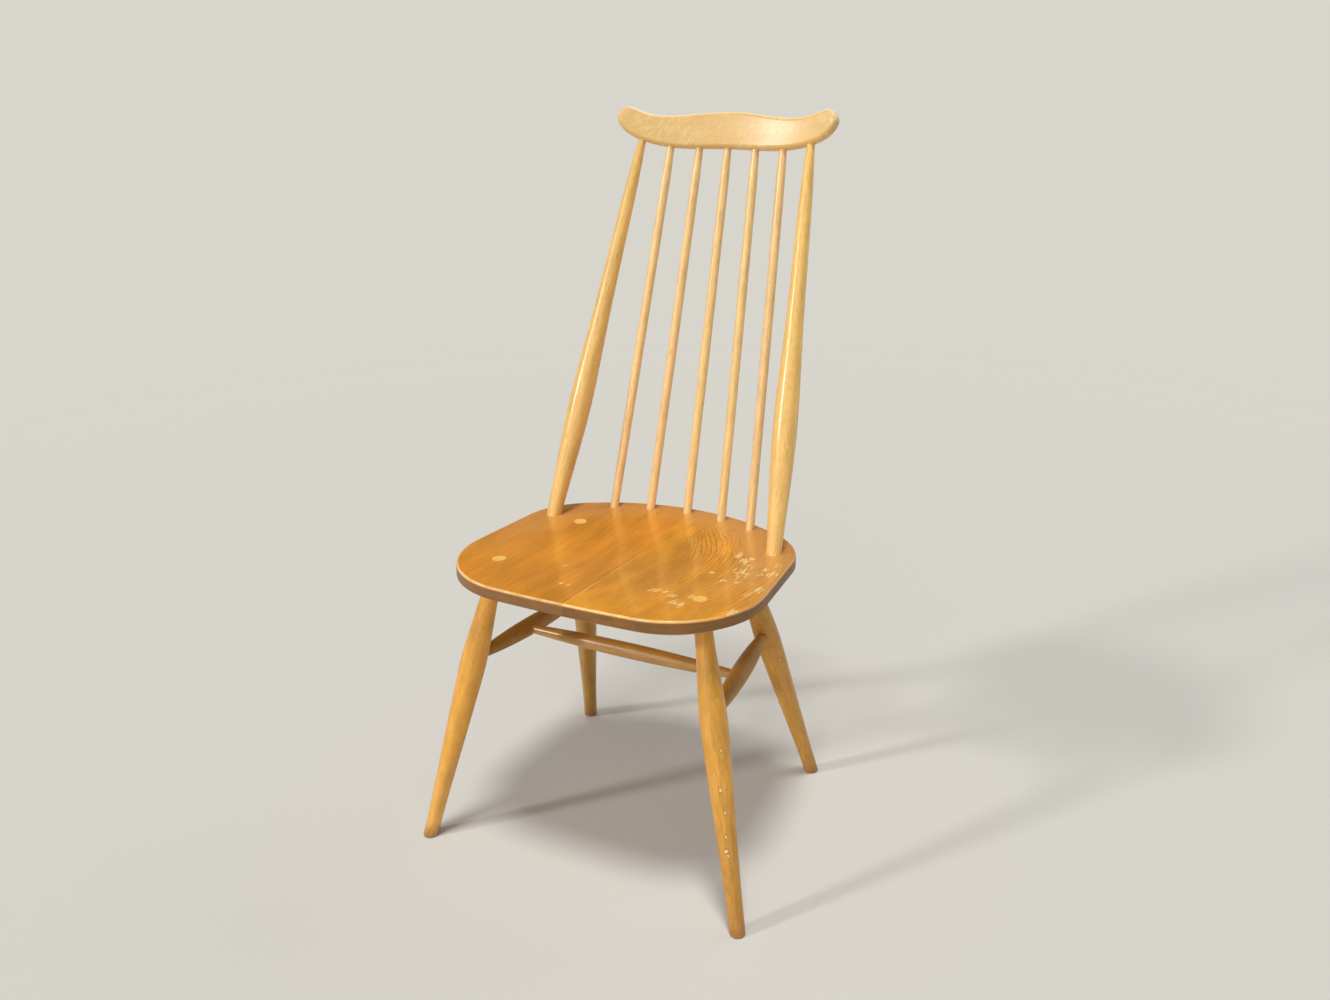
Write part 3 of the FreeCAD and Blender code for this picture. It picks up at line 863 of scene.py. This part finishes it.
class CrestShader(TimberShader):
    """Beech of the crest rail, whose fibres follow its bow and whose face shows ray fleck."""

    def __init__(self, piece: str, timber: Timber, grain: Grain, bow_mm: float) -> None:
        """Starts the material of the rail.

        Args:
            piece: Name of the rail.
            timber: Its beech.
            grain: Middle of the rail's plane, with outward up the rail.
            bow_mm: Radius of the rail's bow.
        """
        self.bow_mm = bow_mm
        super().__init__(piece, timber, grain)

    def find_log_place(self) -> bpy.types.NodeSocket:
        """Unbends the rail to the blank that it was bent from.

        Returns:
            The place in that blank: X up the rail, Y to its front and Z along its bow.
        """
        up = add(self.tree, "SeparateXYZ", {0: super().find_log_place()})
        ahead, along = up.node.outputs["Y"], up.node.outputs["Z"]
        from_centre = add(self.tree, "Math", {0: self.bow_mm, 1: ahead}, operation="SUBTRACT")
        angle = add(self.tree, "Math", {0: along, 1: from_centre}, operation="ARCTAN2")
        length = add(self.tree, "Math", {0: angle, 1: self.bow_mm}, operation="MULTIPLY")
        plan = add(self.tree, "CombineXYZ", {"X": from_centre, "Y": along})
        radius = add(self.tree, "VectorMath", {0: plan}, "Value", operation="LENGTH")
        depth = add(self.tree, "Math", {0: self.bow_mm, 1: radius}, operation="SUBTRACT")
        return add(self.tree, "CombineXYZ", {"X": up, "Y": depth, "Z": length})

    def painted_edge_highlight(self, face: Vector, up: Vector) -> None:
        """Paints a highlight on the rounded edge along the top and round the ends, in the timber's
        bare colour, and takes the film off there.

        Args:
            face: Normal of the rail's face at its middle.
            up: Direction up the rail.
        """
        facing, upward = (
            add(self.tree, "VectorMath", {0: self.normal, 1: way}, "Value", operation="DOT_PRODUCT")
            for way in (face, up))
        turned = add(self.tree, "MapRange", {
            "Value": add(self.tree, "Math", {0: facing}, operation="ABSOLUTE"),
            "From Min": 0.88, "From Max": 0.6,
        })
        above = add(self.tree, "MapRange", {
            "Value": upward, "From Min": -0.35, "From Max": 0.4, "To Max": 0.9})
        # Painted highlight on the edges, laid in the bare colour.
        self.wear(add(self.tree, "Math", {0: turned, 1: above}, operation="MULTIPLY"), 0.0)

    def ray_fleck(self, colour: str, slope: float, size_mm: tuple[float, float]) -> None:
        """Draws feathery strokes across the fibres of the face.

        Args:
            colour: Hex colour of the strokes.
            slope: Degrees from the fibres to the strokes.
            size_mm: Width and length of a stroke.
        """
        strokes = add(self.tree, "Mapping", {
            "Vector": self.log_place, "Rotation": (0, math.radians(slope), 0),
            "Scale": (size_mm[0], RAY_DEPTH_MM, size_mm[1]),
        }, vector_type="TEXTURE")
        pattern = add(self.tree, "TexNoise", {"Vector": strokes, "Scale": 1.0, "Detail": 1.0})
        broad = add(self.tree, "MapRange", {
            "Value": self.drawn_out(30, 60), "From Min": 0.42, "From Max": 0.58})
        share = add(self.tree, "MapRange", {
            "Value": pattern, "From Min": 0.5, "From Max": 0.62, "To Max": 0.6})
        self.laid(add(self.tree, "Math", {0: share, 1: broad}, operation="MULTIPLY"), colour)


def node_points(node: str) -> np.ndarray:
    """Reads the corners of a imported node's mesh.

    Args:
        node: Its name.

    Returns:
        The corners in metres, one to a row.
    """
    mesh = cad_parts[node].data
    flat = np.empty(3 * len(mesh.vertices), np.float32)
    mesh.vertices.foreach_get("co", flat)
    return flat.reshape(-1, 3).astype(float)


def dress(node: str, material: bpy.types.Material) -> None:
    """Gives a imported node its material.

    Args:
        node: Its name.
        material: The material.
    """
    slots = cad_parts[node].data.materials
    slots.clear()
    slots.append(material)
    log.info("%s dressed in %s", node, material.name)


@dataclass
class Turnings:
    """Turned pieces of one timber, whose fibres run from end to end.

    Attributes:
        nodes: Names of the pieces.
        timber: Their timber.
        pith_mm: Distance from the pith to the middle of each blank.
        turn: Degrees by which each blank is turned from the one before.
        tones: How light each piece is, where it isn't as light as the timber; for the legs and
            stretchers this is painted light and shade.
        knocks: Share of the places where a knock may be that have one.
        chips: Larger chips of each piece that has any.
        own: Timber of each piece that differs.
        marks: Marks of feet and floors, and bands of painted light, on each piece that has any.
    """

    nodes: list[str]
    timber: Timber
    pith_mm: float = 38.0
    turn: float = 137.5
    tones: dict[str, float] = field(default_factory=dict)
    knocks: float = 0.06
    chips: dict[str, tuple[Chip, ...]] = field(default_factory=dict)
    own: dict[str, Timber] = field(default_factory=dict)
    marks: dict[str, tuple[FootMarkAndPaintedLight, ...]] = field(default_factory=dict)

    def grain(self, number: int, node: str) -> Grain:
        """Grain of one piece.

        Args:
            number: Place of the piece among the others.
            node: Its name.

        Returns:
            Its grain, with the fibres along its length.
        """
        points = node_points(node)
        middle = Vector(points.mean(0))
        along = Vector(np.linalg.svd(points - points.mean(0), full_matrices=False)[2][0])
        aside = along.orthogonal().normalized()
        outward = Matrix.Rotation(math.radians(self.turn * number), 3, along) @ aside
        return Grain(middle - outward * self.pith_mm * MM, along, outward)

    def dress(self) -> None:
        """Dresses each piece, with the rings of its own blank."""
        for number, node in enumerate(self.nodes):
            timber = self.own.get(node, self.timber)
            shader = TurnedShader(node, timber, self.grain(number, node), self.tones.get(node, 1.0))
            shader.grow()
            shader.end_grain()
            for mark in self.marks.get(node, ()):
                shader.foot(mark)
            if self.knocks:
                shader.knocks(self.knocks)
            shader.chips(self.chips.get(node, ()))
            dress(node, shader.finished())


# Chips that show in the photograph, down the front right leg and on two other pieces.
LEG_CHIPS = {
    "front_right_leg": (
        Chip((206.2, -228.0, 246.3), 1.5, 2.4), Chip((210.9, -240.7, 195.8), 1.8, 3.2),
        Chip((219.2, -244.7, 166.5)), Chip((223.6, -251.3, 135.0), 1.4, 2.2),
        Chip((225.5, -255.2, 116.0), 2.8, 2.4), Chip((228.6, -255.6, 110.1), 1.4, 2.2),
    ),
    "back_right_leg": (Chip((176.4, 50.8, 232.0), 1.5, 1.8),),
}
# Brown dirt from the floor, darker scuffs at each foot, and dust at the sole. The pale band up to
# 210 mm on the front left leg is painted light.
DIRT = "#96602e"
FOOT = (FootMarkAndPaintedLight(28, "#8f5a28"), FootMarkAndPaintedLight(5, "#8f7c70"))
LEG_MARKS_AND_PAINTED_LIGHT = {
    "front_left_leg": (FootMarkAndPaintedLight(210, "#f2c88c", 0.2), FootMarkAndPaintedLight(40, DIRT), *FOOT),
    "front_right_leg": (FootMarkAndPaintedLight(300, DIRT), *FOOT),
    "back_left_leg": (FootMarkAndPaintedLight(85, DIRT), *FOOT),
    "back_right_leg": (FootMarkAndPaintedLight(85, DIRT), *FOOT),
}
# Painted light and shade: the front legs are lightened where light falls on them, and the back legs
# and the stretchers are darkened as shade under the seat.
LEG_PAINTED_LIGHT_AND_SHADE = {
    "front_left_leg": 1.2, "front_right_leg": 1.07, "back_left_leg": 0.7, "back_right_leg": 0.93,
    "side_stretcher_left": 0.58, "side_stretcher_right": 0.68, "cross_stretcher": 0.67,
}
POST_TONES = {"back_post_left": 1.01, "back_post_right": 1.09}
# The side stretchers are rubbed dull by shoes.
RUBBED_BEECH = replace(BEECH_LEGS, varnish=Varnish(roughness=0.52, film=0.04))
LEG_TIMBERS = {
    "back_right_leg": replace(BEECH_LEGS, end="#d8963c"),
    "cross_stretcher": replace(
        BEECH_LEGS, varnish=Varnish(roughness=0.4, film=1.0, film_roughness=0.26)),
    "side_stretcher_left": RUBBED_BEECH, "side_stretcher_right": RUBBED_BEECH,
}
# The wedge and tenon of the back right leg are as dark as the seat round them.
WEDGE_TIMBERS = {"back_right_leg_wedge": replace(
    BEECH_WEDGES, early="#d8963c", late="#d08e36", pores="#da9a42", fibre="#c8862e", end="#d8963c")}
STICK_TONES = {"back_stick_1": 1.02, "back_stick_5": 0.97}
# Three of the sticks are of a pinker beech.
PINK_STICK = replace(BEECH_STICKS, early="#fbd38e", fibre="#c08856")
STICK_TIMBERS = {f"back_stick_{number}": PINK_STICK for number in (1, 2, 5)}
POST_CHIPS = {"back_post_left": (Chip((-146.1, 99.3, 641.3), 1.3, 2.0),)}


@dataclass
class Seat:
    """Dished seat of two elm boards, in millimetres.

    Attributes:
        front_y_mm: Front edge, from the middle of the chair.
        height_mm: Rim above the floor at the front edge.
        fall: Degrees by which the seat falls to the back.
        joint_x_mm: Glue joint, to the right of the middle.
        left_pith_mm: Distance from the left board to its pith, which is below it.
        right_pith_mm: Distance from the right board to its pith, which is far below it.
        ring_stretch: How much longer the rings in the dish are from front to back than across.
        dish_mm: Middle of the dish, back from the front edge.
        dish_tone: Share by which the colour is deeper in the middle of the dish.
        rim_colour: Hex colour of the rim, paler than the dish.
        raw_colour: Hex colour of the underside.
    """

    front_y_mm: float = -269.8
    height_mm: float = 431.0
    fall: float = 1.92
    joint_x_mm: float = 4.5
    left_pith_mm: float = 180.0
    right_pith_mm: float = 2000.0
    ring_stretch: float = 1.5
    dish_mm: float = 196.0
    dish_tone: float = 0.11
    rim_colour: str = "#dea056"
    raw_colour: str = "#a8804e"

    def corner(self) -> Vector:
        """Middle of the front edge, in the plane of the rim."""
        return Vector((0, self.front_y_mm * MM, self.height_mm * MM))

    def middle(self) -> Vector:
        """Middle of the dish, in the plane of the rim."""
        return self.corner() + self.along() * self.dish_mm * MM

    def turn(self) -> Euler:
        """Turn of the seat's plane from the level."""
        return Euler((-math.radians(self.fall), 0, 0))

    def face(self) -> Vector:
        """Normal of the plane of the rim."""
        lean = math.radians(self.fall)
        return Vector((0, math.sin(lean), math.cos(lean)))

    def along(self) -> Vector:
        """Direction from the front to the back, in the plane of the rim."""
        lean = math.radians(self.fall)
        return Vector((0, math.cos(lean), -math.sin(lean)))

    def dress(self) -> None:
        """Dresses the two boards."""
        grain = Grain.of_board(
            self.middle(), self.along(), self.face(), Cut.FLAT_SAWN, self.right_pith_mm)
        right = DishedShader("seat_board", ELM_RIGHT, grain, self)
        right.grow(right.ring_share())
        right.deepened_middle(self.dish_tone)
        right.weather(RIGHT_WEAR)
        dress(RIGHT_BOARD, right.finished())
        low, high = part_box(LEFT_BOARD)
        grain = Grain.of_board(
            (low + high) / 2, self.along(), self.face(), Cut.RIFT_SAWN, self.left_pith_mm)
        left = SeatShader("seat_board", ELM_LEFT, grain, self)
        left.grow()
        left.weather(LEFT_WEAR)
        dress(LEFT_BOARD, left.finished())


@dataclass
class CrestRail:
    """Bowed crest rail, in millimetres.

    Attributes:
        lean: Degrees by which the rail leans back.
        bow_mm: Radius of its bow.
        pith_mm: Distance from the rail's lower edge down to the pith.
        fleck_colour: Hex colour of its ray fleck.
        fleck_slope: Degrees from the fibres to the strokes of the fleck.
        fleck_mm: Width and length of a stroke.
    """

    lean: float = 17.5
    bow_mm: float = 576.0
    pith_mm: float = 70.0
    fleck_colour: str = "#f8dca4"
    fleck_slope: float = 52.0
    fleck_mm: tuple[float, float] = (1.5, 11.0)

    def dress(self) -> None:
        """Dresses the rail, whose blank was sawn on the quarter."""
        lean = math.radians(self.lean)
        up = Vector((0, math.sin(lean), math.cos(lean)))
        along = Vector((1, 0, 0))
        low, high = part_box("crest_rail")
        foot = Vector((0, (low.y + high.y) / 2, low.z))
        grain = Grain(foot - up * self.pith_mm * MM, along, up)
        shader = CrestShader("crest_rail", BEECH_CREST, grain, self.bow_mm)
        shader.grow()
        shader.ray_fleck(self.fleck_colour, self.fleck_slope, self.fleck_mm)
        shader.painted_edge_highlight(up.cross(along), up)
        dress("crest_rail", shader.finished())


class Lit(Enum):
    """What a lamp lights, as the state of the seat's boards in its light linking."""

    SEAT_ALONE = "INCLUDE"
    ALL_BUT_SEAT = "EXCLUDE"


@dataclass(frozen=True)
class SoftLight:
    """Lamp far away, soft enough to blur its shadows.

    Attributes:
        name: Its name.
        direction: Direction to it from the chair.
        strength: Light on a surface that faces it, in watts per square metre.
        spread: Degrees that it spreads over.
        flagged: Whether its mirror image, which would glare from behind, is kept off the seat.
    """

    name: str
    direction: tuple[float, float, float]
    strength: float
    spread: float
    flagged: bool = False

    def build(self) -> None:
        """Hangs the lamp, and where it is flagged a twin for the seat that no varnish mirrors."""
        holder = self.hang(self.name)
        if self.flagged:
            twin = self.hang(f"{self.name}_on_seat")
            twin.visible_glossy = False
            self.link(holder, Lit.ALL_BUT_SEAT)
            self.link(twin, Lit.SEAT_ALONE)

    def hang(self, name: str) -> bpy.types.Object:
        """Hangs one lamp.

        Args:
            name: Its name.

        Returns:
            The object that holds it.
        """
        lamp = bpy.data.lights.new(name, "SUN")
        lamp.energy = self.strength
        lamp.angle = math.radians(self.spread)
        holder = bpy.data.objects.new(name, lamp)
        holder.rotation_mode = "QUATERNION"
        holder.rotation_quaternion = Vector(self.direction).to_track_quat("Z", "Y")
        bpy.context.scene.collection.objects.link(holder)
        return holder

    @staticmethod
    def link(holder: bpy.types.Object, lit: Lit) -> None:
        """Makes a lamp light the seat's boards alone, or all but them.

        Args:
            holder: The lamp.
            lit: What it lights.
        """
        boards = bpy.data.collections.new(f"{holder.name}_lit")
        for node in (LEFT_BOARD, RIGHT_BOARD):
            boards.objects.link(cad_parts[node])
        for entry in boards.collection_objects:
            entry.light_linking.link_state = lit.value
        holder.light_linking.receiver_collection = boards


@dataclass
class Studio:
    """Plain pale floor, soft light and the photograph's camera.

    Attributes:
        camera_at: Place of the camera, in metres.
        yaw: Degrees by which the camera is turned to the left of the chair's depth.
        pitch: Degrees by which it looks down.
        roll: Degrees by which it leans.
        focal_px: Focal length in pixels of an image 1330 wide.
        image_px: Width of that image.
        sensor_mm: Width of the camera's sensor.
        floor_colour: Hex colour of the floor.
        far_colour: Hex colour of the background, as the floor looks in the light.
        high_colour: Hex colour of the screen above it, which only the varnish mirrors.
        screen_z: Heights of a direction, from 0 to 1, between which that screen begins.
        fade_m: Distances from the chair at which the floor starts and ends its fade.
        lights: The lamps.
        around: Strength of the even light from all round.
    """

    camera_at: tuple[float, float, float] = (0.7518, -1.4483, 1.1062)
    yaw: float = 26.9385
    pitch: float = 21.1067
    roll: float = 0.9323
    focal_px: float = 1217.2
    image_px: float = 1330.0
    sensor_mm: float = 36.0
    floor_colour: str = "#dbd8d0"
    far_colour: str = "#d8d5cd"
    high_colour: str = "#4a443e"
    screen_z: tuple[float, float] = (0.05, 0.25)
    fade_m: tuple[float, float] = (1.6, 3.6)
    lights: tuple[SoftLight, ...] = (
        SoftLight("overhead", (0.05, -0.16, 0.98), 1.58, 12.0),
        SoftLight("window", (-0.598, -0.676, 0.429), 1.12, 6.0, flagged=True),
        SoftLight("doorway", (-0.134, -0.956, 0.259), 0.48, 48.0),
        SoftLight("front_fill", (0.4, -0.75, 0.53), 0.4, 50.0),
        SoftLight("back_fill", (0.5, 0.75, 0.42), 0.4, 50.0),
    )
    around: float = 0.15

    def build(self) -> None:
        """Builds the floor, the light and the camera."""
        self.build_camera()
        self.build_floor()
        self.build_world()
        for light in self.lights:
            light.build()
        bpy.context.scene.view_settings.view_transform = "Standard"

    def build_camera(self) -> None:
        """Sets the camera where the photograph was taken from."""
        yaw, pitch, roll = (math.radians(angle) for angle in (self.yaw, self.pitch, self.roll))
        ahead = Vector((-math.sin(yaw), math.cos(yaw), 0))
        forward = ahead * math.cos(pitch) - Vector((0, 0, math.sin(pitch)))
        level = Vector((math.cos(yaw), math.sin(yaw), 0))
        down = forward.cross(level)
        right = math.cos(roll) * level + math.sin(roll) * down
        up = math.sin(roll) * level - math.cos(roll) * down
        data = bpy.data.cameras.new("camera")
        data.sensor_width = self.sensor_mm
        data.lens = self.sensor_mm * self.focal_px / self.image_px
        camera = bpy.data.objects.new("camera", data)
        turn = Matrix((right, up, -forward)).transposed().to_4x4()
        camera.matrix_world = Matrix.Translation(self.camera_at) @ turn
        bpy.context.scene.collection.objects.link(camera)
        bpy.context.scene.camera = camera

    def build_floor(self) -> None:
        """Lays a floor that melts into the background and doesn't hide the chair from below."""
        reach = 2 * self.fade_m[1]
        corners = [(-reach, -reach, 0), (reach, -reach, 0), (reach, reach, 0), (-reach, reach, 0)]
        mesh = bpy.data.meshes.new("floor")
        mesh.from_pydata(corners, [], [(0, 1, 2, 3)])
        floor = bpy.data.objects.new("floor", mesh)
        bpy.context.scene.collection.objects.link(floor)
        # Matt paint: pale and even, so that nothing but the shadow shows on it.
        material = new_material("painted_floor")
        tree = material.node_tree
        place = add(tree, "TexCoord", output="Object")
        distance = add(tree, "VectorMath", {0: place}, "Value", operation="LENGTH")
        fade = add(tree, "MapRange", {
            "Value": distance, "From Min": self.fade_m[0], "From Max": self.fade_m[1],
        }, interpolation_type="SMOOTHSTEP")
        behind = add(tree, "NewGeometry", output="Backfacing")
        gone = add(tree, "Math", {0: fade, 1: behind}, operation="MAXIMUM")
        painted = add(tree, "BsdfDiffuse", {"Color": linear(self.floor_colour)})
        surface = add(tree, "MixShader", {0: gone, 1: painted, 2: add(tree, "BsdfTransparent")})
        add(tree, "OutputMaterial", {"Surface": surface})
        mesh.materials.append(material)

    def build_world(self) -> None:
        """Even light from all round, and a pale background that a dark screen stands over."""
        world = bpy.data.worlds.new("studio")
        bpy.context.scene.world = world
        world.use_nodes = True
        tree = world.node_tree
        tree.nodes.clear()
        camera = seen = add(tree, "LightPath", output="Is Camera Ray")
        for ray in ("Is Glossy Ray", "Is Transmission Ray"):
            seen = add(tree, "Math", {0: seen, 1: camera.node.outputs[ray]}, operation="MAXIMUM")
        light = add(tree, "Background", {"Color": linear("#ffffff"), "Strength": self.around})
        height = add(tree, "SeparateXYZ", {0: add(tree, "TexCoord", output="Generated")}, "Z")
        high = add(tree, "MapRange", {
            "Value": height, "From Min": self.screen_z[0], "From Max": self.screen_z[1],
        }, interpolation_type="SMOOTHSTEP")
        high = add(tree, "Mix", {0: camera, 2: high, 3: 0.0})
        colour = add(tree, "Mix", {
            0: high, 6: linear(self.far_colour), 7: linear(self.high_colour),
        }, 2, data_type="RGBA")
        backdrop = add(tree, "Background", {"Color": colour, "Strength": 1.0})
        surface = add(tree, "MixShader", {0: seen, 1: light, 2: backdrop})
        add(tree, "OutputWorld", {"Surface": surface})


def main() -> None:
    """Dresses the chair and builds the studio round it."""
    logging.basicConfig(level=logging.INFO, format="%(message)s")
    legs = [f"{end}_{side}_leg" for side in ("left", "right") for end in ("front", "back")]
    stretchers = ["side_stretcher_left", "side_stretcher_right", "cross_stretcher"]
    posts = ["back_post_left", "back_post_right"]
    Seat().dress()
    Turnings(
        legs + stretchers, BEECH_LEGS, tones=LEG_PAINTED_LIGHT_AND_SHADE, chips=LEG_CHIPS, own=LEG_TIMBERS,
        marks=LEG_MARKS_AND_PAINTED_LIGHT,
    ).dress()
    Turnings(posts, BEECH_POSTS, tones=POST_TONES, knocks=0.03, chips=POST_CHIPS).dress()
    sticks = [f"back_stick_{number}" for number in range(1, 6)]
    Turnings(
        sticks, BEECH_STICKS, pith_mm=25.0, tones=STICK_TONES, knocks=0.02, own=STICK_TIMBERS,
    ).dress()
    wedges = [f"{piece}_wedge" for piece in legs + posts]
    Turnings(wedges, BEECH_WEDGES, knocks=0, own=WEDGE_TIMBERS).dress()
    CrestRail().dress()
    Studio().build()


if __name__ == "__main__":
    main()
